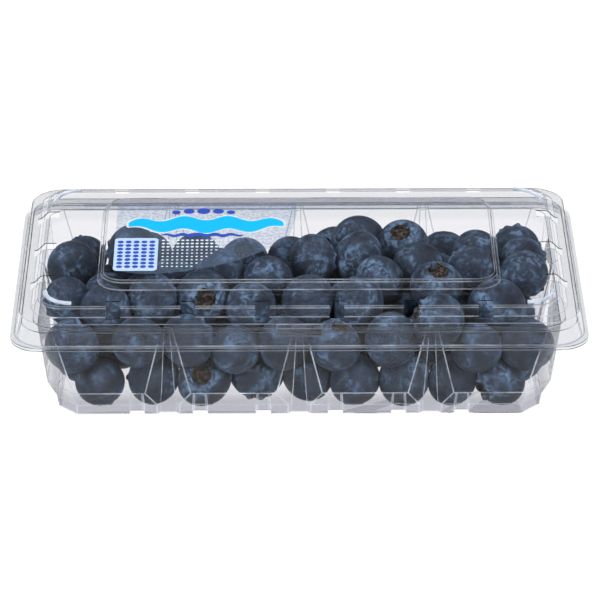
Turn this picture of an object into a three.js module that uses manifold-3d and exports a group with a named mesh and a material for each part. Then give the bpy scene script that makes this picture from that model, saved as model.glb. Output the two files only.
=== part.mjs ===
// A clear hinged punnet of jumbo blueberries, shut, in millimetres with +Z up.
// The origin is under the middle of the whole thing, on the surface that it stands on.
// The tray and the lid are thin thermoformed sheets, joined along the back by a crease.
import * as THREE from 'three';
import { mergeVertices } from 'three/addons/utils/BufferGeometryUtils.js';
import Module from 'manifold-3d';

const wasm = await Module();
wasm.setup();

// Driving sizes of the pack.
const lipHalfX = 95;
const lipHalfY = 54.4;
const sheetThickness = 0.5;
const creaseRadius = 0.4;
const creaseGap = 0.35;
const creaseLength = 150;
const packShiftY = -(creaseGap + 2 * creaseRadius) / 2;

// Heights of the main levels.
const trayLipZ = 31.7;
const lidLipZ = 32.7;
const trayRimZ = 36.5;
const lidRimZ = 39.9;
const ledgeTopZ = 9.8;
const ledgeFootZ = 4;
const lidTopZ = 43.1;
const panelTopZ = 46.1;

// The tray's upper face, from the lip inwards. in is the distance in from the lip's edge, corner is
// the corner's size, and bend is 1 on a round corner and 0 on one cut straight across.
// outer, inner and depth are the flutes' width at the wall, at their floor, and how deep they are.
const traySteps = [
  { in: 0, z: trayLipZ, corner: 10, bend: 1, outer: 3.6, inner: 1.6, depth: 0 },
  { in: 2.2, z: trayLipZ, corner: 10, bend: 1, outer: 3.6, inner: 1.6, depth: 0 },
  { in: 3.6, z: trayRimZ, corner: 9.5, bend: 1, outer: 3.6, inner: 1.6, depth: 0 },
  { in: 7.5, z: trayRimZ, corner: 6.5, bend: 1, outer: 3.6, inner: 1.6, depth: 0 },
  { in: 9.1, z: 34.6, corner: 4.5, bend: 0.6, outer: 3.8, inner: 2, depth: 0.6 },
  { in: 11.4, z: ledgeTopZ, corner: 8.8, bend: 0, outer: 15.2, inner: 4.4, depth: 3 },
  { in: 14.4, z: ledgeFootZ, corner: 6.8, bend: 0, outer: 7.6, inner: 5.4, depth: 1.2 },
  { in: 14.9, z: sheetThickness, corner: 6.2, bend: 0, outer: 7.6, inner: 5.4, depth: 1.2 },
];
const trayCornerParts = 4;
const longFlutes = [-43.6, 0, 43.6];
const shortFlutes = [0];

// The lid's upper face, from the lip inwards. more makes a step deeper than its inset gives.
const panelHalfX = 66.7;
const panelHalfY = 33.1;
const panelInset = lipHalfX - panelHalfX;
const panelMore = panelHalfY - (lipHalfY - panelInset);
const lidSteps = [
  { in: 0, z: lidLipZ, corner: 10, bend: 1 },
  { in: 1.3, z: lidLipZ, corner: 10.5, bend: 1 },
  { in: 3, z: lidRimZ, corner: 11, bend: 1 },
  { in: 6.8, z: 40.5, corner: 8.5, bend: 1 },
  { in: 9, z: 42.7, corner: 7.8, bend: 1 },
  { in: 9.8, z: lidTopZ, corner: 7.2, bend: 1 },
  { in: panelInset, z: lidTopZ, corner: 8, bend: 1, more: panelMore },
  { in: panelInset + 1, z: 45.4, corner: 7.2, bend: 1, more: panelMore },
  { in: panelInset + 1.8, z: panelTopZ, corner: 6.5, bend: 1, more: panelMore },
];
const lidCornerParts = 6;

// Air slots over the lid's top edge, and vents along the foot of the tray.
const slotWidth = 4.8;
const slotPitch = 24.4;
const longSlots = 6;
const shortSlots = 3;
const slotOuterInset = 5.8;
const slotInnerInset = 13.3;
const slotFloorZ = 38.4;
const ventWidth = 4.9;
const ventHeight = 1.5;
const ventReach = 2.6;
const ventPlaces = [12, 33, 54];

// The snap button's outline at the front, as distances in from the lip's edge and heights.
const buttonHalfWidth = 7.6;
const buttonOutline = [[2.2, 35.6], [3.3, 39.8], [2.3, 40.1], [0.9, 39.1], [0.9, 35.6]];

// The curved ribs on the lid's corners, each a quarter of a ring round its own middle.
const rib = { radius: 9, middleX: 74.7, middleY: 34, halfFoot: 0.9, halfCrest: 0.45, height: 0.8, parts: 8 };

// The clear film label on the raised panel: a rectangle with one big sweep at its lower right.
const label = { left: -61.7, right: -0.2, back: 25.6, thickness: 0.2, gap: 0.3, curveParts: 6 };
const labelSweep = {
  sideEnd: [label.left, -20.5], corner: [label.left, -27.5], foot: [-49, -27.8],
  lowPull: [-30, -26], highPull: [-15, -17], shoulder: [-4, -1.5], bulge: [-1.5, 6], top: [label.right, 21],
};

// The berries that show most are chosen one by one, the first row along the front by its places across,
// back and up, and those on top with their radius as well.
const jumboRadius = 8.6;
const radiusSpread = 0.55;
const frontRow = [
  [-71, -33, 9.5], [-52, -33, 9.5], [-31.3, -34, 16], [-14.5, -33, 9.5], [2.4, -27, 10],
  [16.5, -33, 9.5], [34.7, -33, 10.5], [52.2, -33, 9.5], [69.7, -33, 9.5],
];
const upperBerries = [
  [20, 25, 32, 9.2], [19, 6, 36, 8.3], [36, 15, 34, 8.4], [40, -1, 36, 8.4],
  [27, -11, 36, 8], [45.5, -17, 36, 8.4], [63.5, 14, 34, 8], [72, 36, 24, 8],
  [57.5, -4, 35, 8], [77, 15, 30, 8], [76, 0, 34, 8.4], [4, 1, 34, 8],
  [-76, 5, 34, 8.2], [-72.5, 20, 29, 8], [-75, -21, 34, 8],
];

// The others start in rows, bottom layer first, and the top layer lies thicker at the front left.
const rows = [
  { x: 0, y: -14.5, z: 9.5, count: 9 }, { x: 0, y: 1.5, z: 9.5, count: 8 },
  { x: 0, y: 17, z: 9.5, count: 9 }, { x: 0, y: 32, z: 9.5, count: 8 },
  { x: 0, y: -36, z: 24, count: 9 }, { x: 0, y: -21, z: 23, count: 8 },
  { x: 0, y: -5, z: 23, count: 9 }, { x: 0, y: 11, z: 22, count: 8 },
  { x: 0, y: 27, z: 21, count: 9 }, { x: 0, y: -32, z: 35, count: 8 },
  { x: -32, y: -14, z: 35, count: 4 }, { x: -41, y: 4, z: 35, count: 2 },
];
const rowPitch = 17.6;
const rowJitter = 3;

// How firmly a berry keeps its chosen place while the heap settles: 1 is quite loose.
const looseness = { frontRow: 0.15, upper: 0.05, row: 1 };
const contactShare = 0.96;
const settleRounds = 260;
const fallStep = 0.12;
const berryGap = 1;
const heapSeed = 202;

// The open crowns that face the viewer, by the berry's number in the heap.
const chosenCrowns = {
  2: [-0.1, -0.95, 0.12], 3: [0.1, -0.75, -0.7], 11: [-0.12, -0.5, 0.9], 14: [0.05, -0.35, 0.93],
};

// Berries below this height are left out of the heap's middle, where the core takes their place.
const hidden = { topZ: 14, halfX: 60, halfY: 22 };
const coreBlocks = [
  { x: [-70, 70], y: [-27, 29], z: [3, 21] },
  { x: [-64, 70], y: [-26, 6], z: [20, 27] },
  { x: [12, 70], y: [0, 22], z: [20, 26] },
];

// A berry's outline from the stalk end up to the open crown, as shares of its radius. It stands a
// little proud of the round berry at its corners, so that its flat sides hold the same volume.
const berryOutline = [[0, -1], [0.8, -0.7], [1.07, 0], [0.8, 0.66], [0.32, 0.95], [0, 0.78]];
const berrySides = 7;

// Colours of the real things.
const clearSheet = { color: 0xe6eaec, roughness: 0.08, metalness: 0, transparent: true, opacity: 0.35 };
const filmLook = { color: 0x3f9fe0, roughness: 0.3, metalness: 0 };
const berryLook = { color: 0x36415a, roughness: 0.6, metalness: 0 };

const pack = new THREE.Group();
pack.position.y = packShiftY;

function addPiece(name, geometry, look) {
  const piece = new THREE.Mesh(geometry, new THREE.MeshStandardMaterial(look));
  piece.name = name;
  pack.add(piece);
}

// A closed geometry as a solid that can be joined and cut.
function toSolid(geometry) {
  const bare = geometry.index ? geometry.toNonIndexed() : geometry.clone();
  bare.deleteAttribute('normal');
  bare.deleteAttribute('uv');
  const merged = mergeVertices(bare, 1e-4);
  const triVerts = [];
  const index = merged.index.array;
  for (let i = 0; i < index.length; i += 3) {
    const [a, b, c] = [index[i], index[i + 1], index[i + 2]];
    if (a !== b && b !== c && c !== a) triVerts.push(a, b, c);
  }
  return new wasm.Manifold(new wasm.Mesh({
    numProp: 3,
    vertProperties: new Float32Array(merged.attributes.position.array),
    triVerts: new Uint32Array(triVerts),
  }));
}

function toGeometry(solid) {
  const mesh = solid.getMesh();
  const geometry = new THREE.BufferGeometry();
  geometry.setAttribute('position', new THREE.BufferAttribute(new Float32Array(mesh.vertProperties), 3));
  geometry.setIndex(new THREE.BufferAttribute(new Uint32Array(mesh.triVerts), 1));
  return geometry;
}

function boxSolid([lowX, highX], [lowY, highY], [lowZ, highZ]) {
  const box = new THREE.BoxGeometry(highX - lowX, highY - lowY, highZ - lowZ);
  box.translate((lowX + highX) / 2, (lowY + highY) / 2, (lowZ + highZ) / 2);
  return toSolid(box);
}

// The same two distances on one side of the pack's middle line, in rising order.
function onSide(side, near, far) {
  return [side * near, side * far].sort((a, b) => a - b);
}

// The half sizes of a step, measured to its straight sides.
function halfSizes(step) {
  return { x: lipHalfX - step.in, y: lipHalfY - step.in + (step.more ?? 0) };
}

// One ring of points round the pack, anticlockwise from the front left, with its flutes.
function ringPoints(step, cornerParts, flutesLong, flutesShort) {
  const half = halfSizes(step);
  const points = [];
  const sides = [
    { along: [1, 0], out: [0, -1], reach: half.x, away: half.y, flutes: flutesLong },
    { along: [0, 1], out: [1, 0], reach: half.y, away: half.x, flutes: flutesShort },
    { along: [-1, 0], out: [0, 1], reach: half.x, away: half.y, flutes: flutesLong },
    { along: [0, -1], out: [-1, 0], reach: half.y, away: half.x, flutes: flutesShort },
  ];
  const put = (side, s, d) => points.push([
    side.along[0] * s + side.out[0] * d,
    side.along[1] * s + side.out[1] * d,
  ]);
  for (const side of sides) {
    for (const middle of side.flutes) {
      put(side, middle - step.outer / 2, side.away);
      put(side, middle - step.inner / 2, side.away - step.depth);
      put(side, middle + step.inner / 2, side.away - step.depth);
      put(side, middle + step.outer / 2, side.away);
    }
    for (let i = 0; i <= cornerParts; i++) {
      const share = i / cornerParts;
      const turn = share * Math.PI / 2;
      const cut = [share, 1 - share];
      const round = [Math.sin(turn), Math.cos(turn)];
      const along = cut[0] + (round[0] - cut[0]) * step.bend;
      const out = cut[1] + (round[1] - cut[1]) * step.bend;
      put(side, side.reach - step.corner + step.corner * along, side.away - step.corner + step.corner * out);
    }
  }
  return points;
}

// The far face of the sheet: each step moved one thickness to the under side, mitred at the bends.
function underSteps(steps) {
  return steps.map((step, i) => {
    const before = steps[Math.max(i - 1, 0)];
    const after = steps[Math.min(i + 1, steps.length - 1)];
    const normals = [];
    for (const [from, to] of [[before, step], [step, after]]) {
      const run = new THREE.Vector2(to.in - from.in, to.z - from.z);
      if (run.length() > 0) normals.push(new THREE.Vector2(run.y, -run.x).normalize());
    }
    if (i === steps.length - 1) normals[1] = new THREE.Vector2(0, -1);
    const mitre = normals[0].clone().add(normals[1] ?? normals[0]).normalize();
    const reach = sheetThickness / mitre.dot(normals[0]);
    return { ...step, in: step.in + mitre.x * reach, z: step.z + mitre.y * reach };
  });
}

// A pressed sheet: the upper face, its far face one thickness below, and the lip between them.
function pressedSheet(steps, cornerParts, flutesLong, flutesShort) {
  const loops = [...underSteps(steps).reverse(), ...steps];
  const rings = loops.map((step) => ringPoints(step, cornerParts, flutesLong, flutesShort)
    .map(([x, y]) => [x, y, step.z]));
  const count = rings[0].length;
  const positions = [...rings.flat(2), 0, 0, loops[0].z, 0, 0, loops.at(-1).z];
  const index = [];
  for (let r = 0; r + 1 < rings.length; r++) {
    for (let i = 0; i < count; i++) {
      const a = r * count + i;
      const b = r * count + (i + 1) % count;
      index.push(a, b, b + count, a, b + count, a + count);
    }
  }
  const low = rings.length * count;
  const last = (rings.length - 1) * count;
  for (let i = 0; i < count; i++) {
    const next = (i + 1) % count;
    index.push(low, next, i, low + 1, last + i, last + next);
  }
  const sheet = new THREE.BufferGeometry();
  sheet.setAttribute('position', new THREE.Float32BufferAttribute(positions, 3));
  sheet.setIndex(index);
  return toSolid(sheet);
}

// The tray, with its foot vents.
function makeTray() {
  let tray = pressedSheet(traySteps, trayCornerParts, longFlutes, shortFlutes);
  const footHalfY = lipHalfY - traySteps.at(-1).in + sheetThickness;
  for (const side of [-1, 1]) {
    for (const place of ventPlaces.flatMap((x) => [-x, x])) {
      const across = [place - ventWidth / 2, place + ventWidth / 2];
      const deep = onSide(side, footHalfY - ventReach, footHalfY + 1);
      tray = tray.subtract(boxSolid(across, deep, [-1, ventHeight]));
    }
  }
  return tray;
}

// The curved rib that stiffens one corner of the lid, cut from a whole ring.
function cornerRib(sideX, sideY) {
  const foot = lidTopZ - sheetThickness / 2;
  const crest = lidTopZ + rib.height;
  const section = [
    [rib.radius + rib.halfFoot, foot], [rib.radius + rib.halfCrest, crest],
    [rib.radius - rib.halfCrest, crest], [rib.radius - rib.halfFoot, foot], [rib.radius + rib.halfFoot, foot],
  ].map(([out, up]) => new THREE.Vector2(out, up));
  const ring = new THREE.LatheGeometry(section, 4 * rib.parts);
  ring.rotateX(Math.PI / 2);
  const reach = 2 * rib.radius;
  const quarter = boxSolid(onSide(sideX, 0, reach), onSide(sideY, 0, reach), [foot - 1, crest + 1]);
  return toSolid(ring).intersect(quarter).translate(sideX * rib.middleX, sideY * rib.middleY, 0);
}

// The air slots over one edge of the lid, wide ones along x and the others along y.
function slotCutters(side, count, alongX) {
  const half = slotWidth / 2;
  const away = alongX ? lipHalfY : lipHalfX;
  const across = onSide(side, away - slotInnerInset, away - slotOuterInset);
  return Array.from({ length: count }, (_, i) => {
    const middle = (i - (count - 1) / 2) * slotPitch;
    const along = [middle - half, middle + half];
    const height = [slotFloorZ, lidTopZ + 1];
    return alongX ? boxSolid(along, across, height) : boxSolid(across, along, height);
  });
}

// The snap button, its outline drawn as depth and height and run across the pack.
function snapButton() {
  const outline = new THREE.Shape(buttonOutline.map(([inset, z]) => new THREE.Vector2(inset - lipHalfY, z)));
  const body = new THREE.ExtrudeGeometry(outline, { depth: 2 * buttonHalfWidth, bevelEnabled: false });
  body.applyMatrix4(new THREE.Matrix4().makeBasis(
    new THREE.Vector3(0, 1, 0), new THREE.Vector3(0, 0, 1), new THREE.Vector3(1, 0, 0)));
  body.translate(-buttonHalfWidth, 0, 0);
  return toSolid(body);
}

// The lid, with its air slots, corner ribs and the snap button.
function makeLid() {
  let lid = pressedSheet(lidSteps, lidCornerParts, [], []);
  for (const sideX of [-1, 1]) {
    for (const sideY of [-1, 1]) lid = lid.add(cornerRib(sideX, sideY));
  }
  for (const side of [-1, 1]) {
    const cutters = [...slotCutters(side, longSlots, true), ...slotCutters(side, shortSlots, false)];
    for (const cutter of cutters) lid = lid.subtract(cutter);
  }
  return lid.add(snapButton());
}

// The crease that the lid turns on, along the back of the lip.
function makeCrease() {
  const crease = new THREE.CylinderGeometry(creaseRadius, creaseRadius, creaseLength, 8);
  crease.rotateZ(Math.PI / 2);
  crease.translate(0, lipHalfY + creaseGap + creaseRadius, (trayLipZ + lidLipZ - sheetThickness) / 2);
  return crease;
}

function makeLabel() {
  const film = new THREE.Shape();
  film.moveTo(label.left, label.back);
  film.lineTo(...labelSweep.sideEnd);
  film.quadraticCurveTo(...labelSweep.corner, ...labelSweep.foot);
  film.bezierCurveTo(...labelSweep.lowPull, ...labelSweep.highPull, ...labelSweep.shoulder);
  film.quadraticCurveTo(...labelSweep.bulge, ...labelSweep.top);
  film.lineTo(label.right, label.back);
  const sheet = new THREE.ExtrudeGeometry(film, {
    depth: label.thickness, bevelEnabled: false, curveSegments: label.curveParts,
  });
  sheet.translate(0, 0, panelTopZ + label.gap);
  return sheet;
}

// Numbers from 0 to 1, always the same ones.
const drawFactor = 16807;
const drawModulus = 2147483647;
let drawn = heapSeed;
function draw() {
  drawn = (drawn * drawFactor) % drawModulus;
  return drawn / drawModulus;
}

// A direction drawn evenly over the sphere.
function drawDirection() {
  for (;;) {
    const [x, y, z] = [2 * draw() - 1, 2 * draw() - 1, 2 * draw() - 1];
    const length = Math.sqrt(x * x + y * y + z * z);
    if (length > 0.2 && length < 1) return new THREE.Vector3(x / length, y / length, z / length);
  }
}

// A value of the tray's inner face at a height, between the steps that it lies between.
const wallSteps = traySteps.slice(4);
const [ledgeTop, ledgeFoot] = traySteps.slice(5, 7);
function atHeight(z, key) {
  if (z >= wallSteps[0].z) return wallSteps[0][key];
  for (let i = 1; i < wallSteps.length; i++) {
    const [high, low] = [wallSteps[i - 1], wallSteps[i]];
    if (z >= low.z) return low[key] + (high[key] - low[key]) * (z - low.z) / (high.z - low.z);
  }
  return wallSteps.at(-1)[key];
}

// How far in from the ledge's upper edge a berry stays, where the ledge slopes in by run.
function ledgeRoom(berry, run) {
  const fall = ledgeTopZ - ledgeFootZ;
  return ((berry.r + berryGap) * Math.hypot(run, fall) - (berry.z - ledgeTopZ) * run) / fall;
}

// How far a berry's middle may be from the pack's middle line, on one side of the pack: it stays
// clear of the wall, of the sloped ledge under it and of the flutes' floors.
function farthest(half, across, berry, flutes) {
  const wall = half - atHeight(berry.z, 'in') - berryGap;
  const ledge = half - ledgeTop.in - ledgeRoom(berry, ledgeFoot.in - ledgeTop.in);
  let most = Math.min(wall - berry.r, ledge);
  for (const middle of flutes) {
    const beside = Math.max(Math.abs(across - middle) - atHeight(berry.z, 'inner') / 2, 0);
    if (beside < berry.r) {
      const bulge = Math.sqrt(berry.r * berry.r - beside * beside);
      most = Math.min(most, wall - atHeight(berry.z, 'depth') - bulge);
    }
  }
  return most;
}

// The distance from the pack's middle to the flat of a cut corner.
function cornerReach(inset, corner) {
  return (lipHalfX + lipHalfY - 2 * inset - corner) * Math.SQRT1_2;
}

function keepInside(berry) {
  const mostY = farthest(lipHalfY, berry.x, berry, longFlutes);
  berry.y = Math.min(Math.max(berry.y, -mostY), mostY);
  const mostX = farthest(lipHalfX, berry.y, berry, shortFlutes);
  berry.x = Math.min(Math.max(berry.x, -mostX), mostX);
  const wall = cornerReach(atHeight(berry.z, 'in'), atHeight(berry.z, 'corner')) - berry.r - berryGap;
  const ledge = cornerReach(ledgeTop.in, ledgeTop.corner);
  const run = ledge - cornerReach(ledgeFoot.in, ledgeFoot.corner);
  const most = Math.min(wall, ledge - ledgeRoom(berry, run));
  const over = (Math.abs(berry.x) + Math.abs(berry.y)) * Math.SQRT1_2 - most;
  if (over > 0) {
    berry.x -= Math.sign(berry.x) * over * Math.SQRT1_2;
    berry.y -= Math.sign(berry.y) * over * Math.SQRT1_2;
  }
  const besidePanel = Math.max(Math.abs(berry.x) - panelHalfX, Math.abs(berry.y) - panelHalfY) + berry.r;
  const ceiling = (besidePanel < 0 ? panelTopZ : lidTopZ) - sheetThickness;
  berry.z = Math.min(berry.z, ceiling - berryGap - berry.r);
  berry.z = Math.max(berry.z, sheetThickness + berryGap + berry.r);
}

// The berries sink and push each other apart until they lie in the pack.
function settle(berries) {
  for (let round = 0; round < settleRounds; round++) {
    for (const berry of berries) berry.z -= fallStep * berry.loose;
    for (let i = 0; i < berries.length; i++) {
      const a = berries[i];
      for (let j = i + 1; j < berries.length; j++) {
        const b = berries[j];
        const dx = b.x - a.x;
        const dy = b.y - a.y;
        const dz = b.z - a.z;
        const reach = (a.r + b.r) * contactShare;
        const square = dx * dx + dy * dy + dz * dz;
        if (square < reach * reach) {
          const length = Math.sqrt(square);
          const push = (reach - length) / length / (a.loose + b.loose);
          a.x -= dx * push * a.loose;
          a.y -= dy * push * a.loose;
          a.z -= dz * push * a.loose;
          b.x += dx * push * b.loose;
          b.y += dy * push * b.loose;
          b.z += dz * push * b.loose;
        }
      }
    }
    for (const berry of berries) keepInside(berry);
  }
}

function placeBerries() {
  const berries = [];
  const add = (x, y, z, r, loose) => berries.push({ x, y, z, r, loose });
  const radius = () => jumboRadius + radiusSpread * (2 * draw() - 1);
  const shift = () => rowJitter * (draw() - 0.5);
  for (const [x, y, z] of frontRow) add(x, y, z, radius(), looseness.frontRow);
  for (const [x, y, z, r] of upperBerries) add(x, y, z, r, looseness.upper);
  for (const row of rows) {
    for (let i = 0; i < row.count; i++) {
      const x = row.x + (i - (row.count - 1) / 2) * rowPitch;
      add(x + shift(), row.y + shift(), row.z + shift(), radius(), looseness.row);
    }
  }
  settle(berries);
  return berries;
}

// One berry standing on its stalk end: a flattened ball with the open crown on top.
function berryBody(radius) {
  const outline = berryOutline.map(([out, up]) => new THREE.Vector2(radius * out, radius * up));
  const body = new THREE.LatheGeometry(outline, berrySides);
  body.rotateX(Math.PI / 2);
  return body;
}

// A berry at the bottom of the heap's middle is hidden on every side by the others.
function shows(berry) {
  return berry.z > hidden.topZ || Math.abs(berry.x) > hidden.halfX || Math.abs(berry.y) > hidden.halfY;
}

// The heap: a plain core with every berry that shows fused on.
function makeHeap() {
  const solids = coreBlocks.map((block) => boxSolid(block.x, block.y, block.z));
  placeBerries().forEach((berry, number) => {
    const drawnWay = drawDirection();
    if (!shows(berry)) return;
    const chosen = chosenCrowns[number];
    const way = chosen ? new THREE.Vector3(...chosen).normalize() : drawnWay;
    const body = berryBody(berry.r);
    body.applyQuaternion(new THREE.Quaternion().setFromUnitVectors(new THREE.Vector3(0, 0, 1), way));
    body.translate(berry.x, berry.y, berry.z);
    solids.push(toSolid(body));
  });
  // A hollow shut in between the berries is filled, and a berry that touches nothing is left out.
  const parts = solids.reduce((heap, solid) => heap.add(solid)).decompose();
  return parts.reduce((best, part) => (part.volume() > best.volume() ? part : best));
}

addPiece('tray', toGeometry(makeTray()), clearSheet);
addPiece('lid', toGeometry(makeLid()), clearSheet);
addPiece('hinge', makeCrease(), clearSheet);
addPiece('label', makeLabel(), filmLook);
addPiece('blueberries', toGeometry(makeHeap()), berryLook);

export default pack;
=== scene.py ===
# A shut clear punnet of jumbo blueberries, in metres. The pack's own sizes are given in millimetres.
import bpy, bmesh, math, random
from mathutils import Matrix, Vector


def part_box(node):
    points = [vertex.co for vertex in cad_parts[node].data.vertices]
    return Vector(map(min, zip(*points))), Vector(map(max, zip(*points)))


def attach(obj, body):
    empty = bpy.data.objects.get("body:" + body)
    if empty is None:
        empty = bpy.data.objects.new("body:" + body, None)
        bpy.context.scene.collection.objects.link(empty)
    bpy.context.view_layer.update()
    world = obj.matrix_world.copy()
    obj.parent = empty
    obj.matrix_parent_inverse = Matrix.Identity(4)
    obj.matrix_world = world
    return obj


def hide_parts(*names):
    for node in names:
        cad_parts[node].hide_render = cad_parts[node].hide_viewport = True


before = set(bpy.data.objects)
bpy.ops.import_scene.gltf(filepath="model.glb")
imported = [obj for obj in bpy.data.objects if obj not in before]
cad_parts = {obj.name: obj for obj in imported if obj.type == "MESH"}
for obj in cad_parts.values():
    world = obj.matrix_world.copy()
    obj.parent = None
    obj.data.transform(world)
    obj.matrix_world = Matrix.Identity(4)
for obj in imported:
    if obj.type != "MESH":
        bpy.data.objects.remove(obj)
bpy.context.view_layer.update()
mm = 0.001

lidLow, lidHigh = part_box("lid")
labelLow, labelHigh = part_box("label")
hingeLow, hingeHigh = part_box("hinge")

# the pack is drawn round the middle of its lip in millimetres, and moved into place at the end
pack = {
    "halfX": (lidHigh.x - lidLow.x) / 2 / mm,
    "halfY": (lidHigh.y - lidLow.y) / 2 / mm,
    "middleY": (lidHigh.y + lidLow.y) / 2,
    "sheet": 0.3, "bendParts": 2, "smoothAngle": 35, "flatAngle": 50,
}


def linearColour(hexValue):  # sRGB hex to the linear values that are mixed, and full cover
    parts = [int(hexValue[i:i + 2], 16) / 255 for i in (1, 3, 5)]
    return [c / 12.92 if c <= 0.04045 else ((c + 0.055) / 1.055) ** 2.4 for c in parts] + [1.0]


def toPackPlace(bm):
    bmesh.ops.scale(bm, vec=(mm, mm, mm), verts=bm.verts)
    bmesh.ops.translate(bm, vec=(0, pack["middleY"], 0), verts=bm.verts)


def newObject(name, bm):
    mesh = bpy.data.meshes.new(name)
    bm.to_mesh(mesh)
    bm.free()
    made = bpy.data.objects.new(name, mesh)
    bpy.context.scene.collection.objects.link(made)
    return made


def shadeSmooth(piece, angle):
    piece.data.polygons.foreach_set("use_smooth", [True] * len(piece.data.polygons))
    piece.data.set_sharp_from_angle(angle=math.radians(angle))


def keepFlatsFlat(piece):  # the narrow bends alone take the change of shading
    shadeSmooth(piece, pack["flatAngle"])
    weigh = piece.modifiers.new("weigh", "WEIGHTED_NORMAL")
    weigh.keep_sharp = True
    weigh.weight = 100  # the largest face beside a corner decides
    applyModifiers(piece)


def finishPiece(name, bm, materials, body, smoothAngle=pack["smoothAngle"]):
    toPackPlace(bm)
    piece = newObject(name, bm)
    for material in materials:
        piece.data.materials.append(material)
    shadeSmooth(piece, smoothAngle)
    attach(piece, body)
    return piece


def applyModifiers(piece):
    graph = bpy.context.evaluated_depsgraph_get()
    graph.update()
    made = bpy.data.meshes.new_from_object(piece.evaluated_get(graph), depsgraph=graph)
    old = piece.data
    piece.modifiers.clear()
    piece.data = made
    bpy.data.meshes.remove(old)


def addNode(tree, kind, settings=None, inputs=None, links=None):
    node = tree.nodes.new(kind)
    for key, value in (settings or {}).items():
        setattr(node, key, value)
    for key, value in (inputs or {}).items():
        node.inputs[key].default_value = value
    for key, source in (links or {}).items():
        tree.links.new(source, node.inputs[key])
    return node


def newMaterial(name):
    material = bpy.data.materials.new(name)
    material.use_nodes = True
    material.node_tree.nodes.clear()
    return material, material.node_tree


def addNoise(tree, size, detail, roughness=0.5):  # its size in millimetres on the piece itself
    place = addNode(tree, "ShaderNodeTexCoord")
    return addNode(tree, "ShaderNodeTexNoise",
                   inputs={"Scale": 1 / (size * mm), "Detail": detail, "Roughness": roughness},
                   links={"Vector": place.outputs["Object"]}).outputs["Fac"]


def mapRange(tree, source, low, high, least=0.0, most=1.0):  # low gives the least and high the most
    return addNode(tree, "ShaderNodeMapRange",
                   inputs={"From Min": low, "From Max": high, "To Min": least, "To Max": most},
                   links={"Value": source}).outputs[0]


def heightOf(tree):  # above the table, in metres
    place = addNode(tree, "ShaderNodeTexCoord")
    return addNode(tree, "ShaderNodeSeparateXYZ", links={"Vector": place.outputs["Object"]}).outputs["Z"]


def fillRamp(ramp, stops):  # colours by their place along the ramp
    stopsMade = ramp.color_ramp.elements
    stopsMade.remove(stopsMade[1])
    stopsMade[0].position = stops[0][0]
    stopsMade[0].color = linearColour(stops[0][1])
    for spot, colourHex in stops[1:]:
        stopsMade.new(spot).color = linearColour(colourHex)


def letLampsThrough(tree, shader, tint):  # a sheet this thin hardly bends the lamps' light
    through = addNode(tree, "ShaderNodeBsdfTransparent", inputs={"Color": linearColour(tint)})
    path = addNode(tree, "ShaderNodeLightPath")
    mix = addNode(tree, "ShaderNodeMixShader",
                  links={0: path.outputs["Is Shadow Ray"], 1: shader.outputs[0], 2: through.outputs[0]})
    addNode(tree, "ShaderNodeOutputMaterial", links={"Surface": mix.outputs[0]})


# PET sheet, thermoformed: clear and glossy with a slow ripple where it was drawn over the mould.
# The index is lower than the plastic's own 1.57, as the real sheet's reflections are fainter than
# those of a solid block. The bends get a painted highlight, a pale colour mixed into the sheet, so they show
# as pale lines.
# The tints go by height in millimetres: the grey at the foot is a painted shadow of the pack on the table
# seen through it, and the grey band at the lip, where the sheet is doubled, is painted shade as well. A
# pattern is its size in millimetres, its detail and roughness.
sheetLook = {
    "wallTintsAndShade": ((6, "#CFCFD5"), (12, "#F9F9FB"), (30, "#F9F9FB"), (32, "#EFF0F2"), (37, "#EFF0F2"),
                  (38.5, "#F6F6F8")),
    "bendTintsAndShade": ((6, "#C0C1C7"), (12, "#C6CAD1"), (30, "#C6CAD1"), (32, "#B8BCC0"), (37, "#B8BCC0"),
                  (38.5, "#CED1D7")),
    "tintTop": 50, "lampTint": "#F4F4F6", "ior": 1.21, "roughness": 0.02,
    "ripple": (14, 1.5, 0.4), "rippleDepth": 0.3, "rippleStrength": 0.25,
    # the bends' pale colour is a painted highlight, made uneven along them by a pattern
    "bendHighlightColour": "#C9D3E0", "bendRoughness": 0.12, "highlightRoughness": 0.25,
    "bendHighlightPatch": (6, 2), "highlightSpread": (0.3, 0.7, 0.4, 1.5),
    "wallBendHighlight": 0.15, "lipBendHighlight": 0.05, "ribBendHighlight": 0.16, "underLip": 29, "lipLow": 30,
}


def rippleBump(tree):
    return addNode(tree, "ShaderNodeBump",
                   inputs={"Strength": sheetLook["rippleStrength"],
                           "Distance": sheetLook["rippleDepth"] * mm},
                   links={"Height": addNoise(tree, *sheetLook["ripple"])})


def clearShader(tree, tintsAndShade, roughness):  # greyer at the foot, a painted shadow under the pack, and at the lip, where the sheet is doubled, with painted shade added there
    up = addNode(tree, "ShaderNodeMath", {"operation": "DIVIDE"}, {1: sheetLook["tintTop"] * mm},
                 {0: heightOf(tree)})
    tint = addNode(tree, "ShaderNodeValToRGB", links={"Fac": up.outputs[0]})
    fillRamp(tint, [(z / sheetLook["tintTop"], colourHex) for z, colourHex in tintsAndShade])
    bump = rippleBump(tree)
    return addNode(tree, "ShaderNodeBsdfPrincipled",
                   inputs={"Roughness": roughness, "IOR": sheetLook["ior"], "Transmission Weight": 1.0},
                   links={"Base Color": tint.outputs[0], "Normal": bump.outputs["Normal"]})


def clearSheetMaterial():
    material, tree = newMaterial("ClearThermoformedPet")
    shader = clearShader(tree, sheetLook["wallTintsAndShade"], sheetLook["roughness"])
    letLampsThrough(tree, shader, sheetLook["lampTint"])
    return material


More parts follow.
